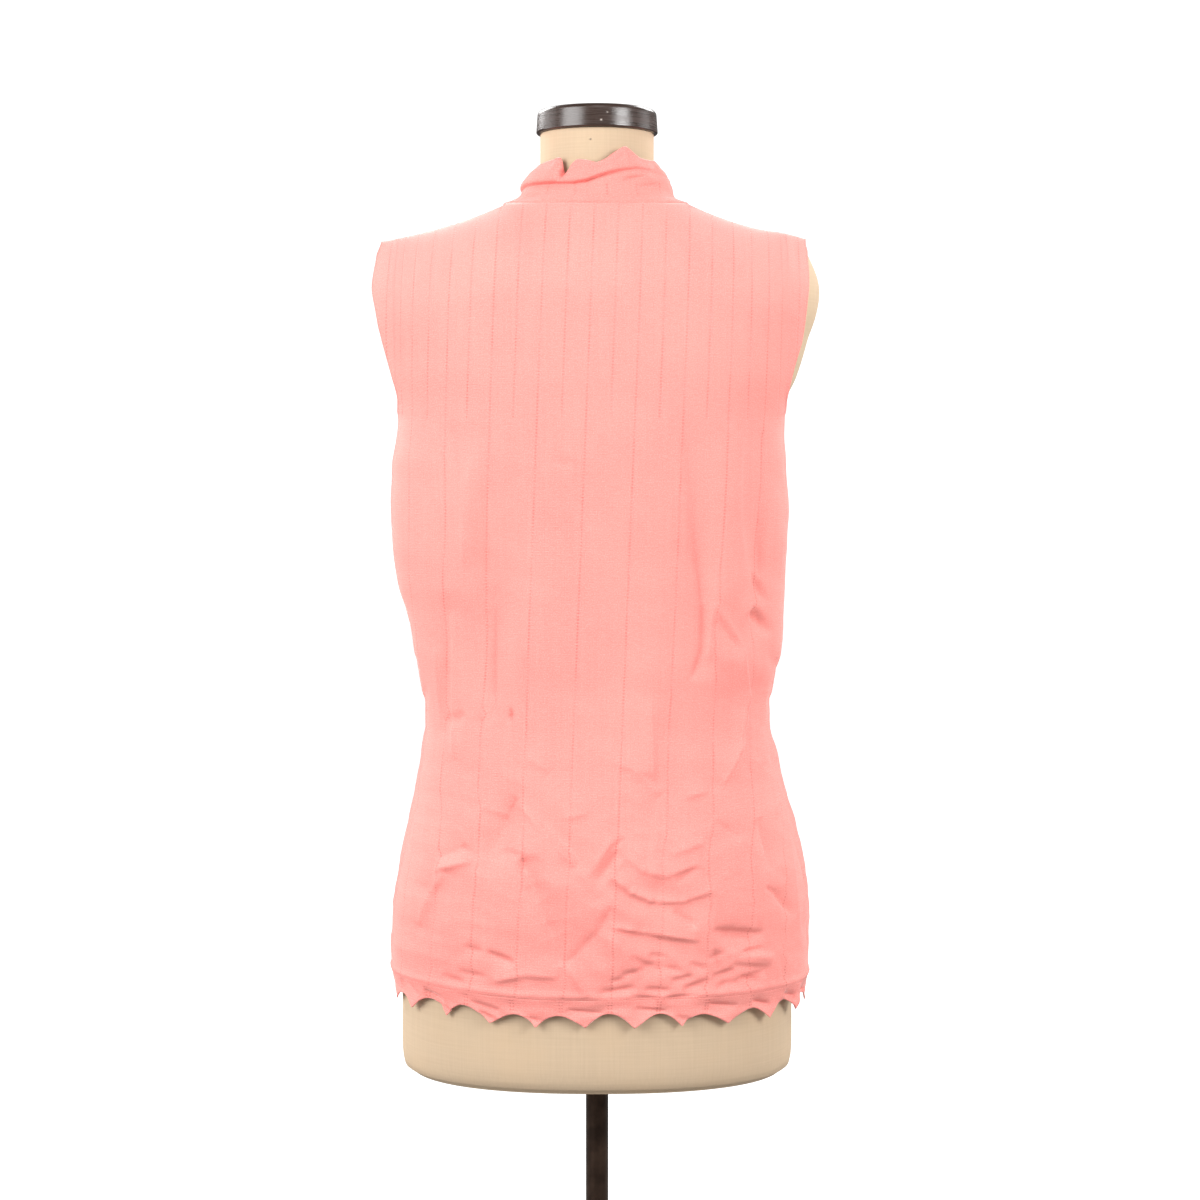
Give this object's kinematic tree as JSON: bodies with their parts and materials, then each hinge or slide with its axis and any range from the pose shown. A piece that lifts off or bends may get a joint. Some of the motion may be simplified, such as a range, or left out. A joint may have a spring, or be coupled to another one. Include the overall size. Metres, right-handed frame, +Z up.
{
  "type": "sleeveless sweater on dress form",
  "caption": "Sleeveless mock-neck knit sweater with eyelet lines and scalloped hem, worn on a limbless dress form that stands on a round base.",
  "frame": {"origin": "centre of the underside of the round base", "axes": "+Z up; the sweater's back faces -Y and its front +Y; +X is to the right seen from behind"},
  "size_m": [0.3882, 0.33, 1.167],
  "materials": {
    "knit": "fine coral-pink knit",
    "form_linen": "plain-woven beige linen stretched over the form",
    "cap_wood": "dark stained wood, satin lacquer",
    "pole_metal": "dark brown paint, semi-gloss",
    "base_wood": "dark stained wood, satin lacquer"
  },
  "bodies": {
    "root": {"back_panel": "knit", "front_panel": "knit", "collar": "knit", "hem_edging_back": "knit", "hem_edging_front": "knit", "form_torso": "form_linen", "neck_cap": "cap_wood", "stand_pole": "pole_metal", "stand_base": "base_wood"}
  },
  "joints": []
}
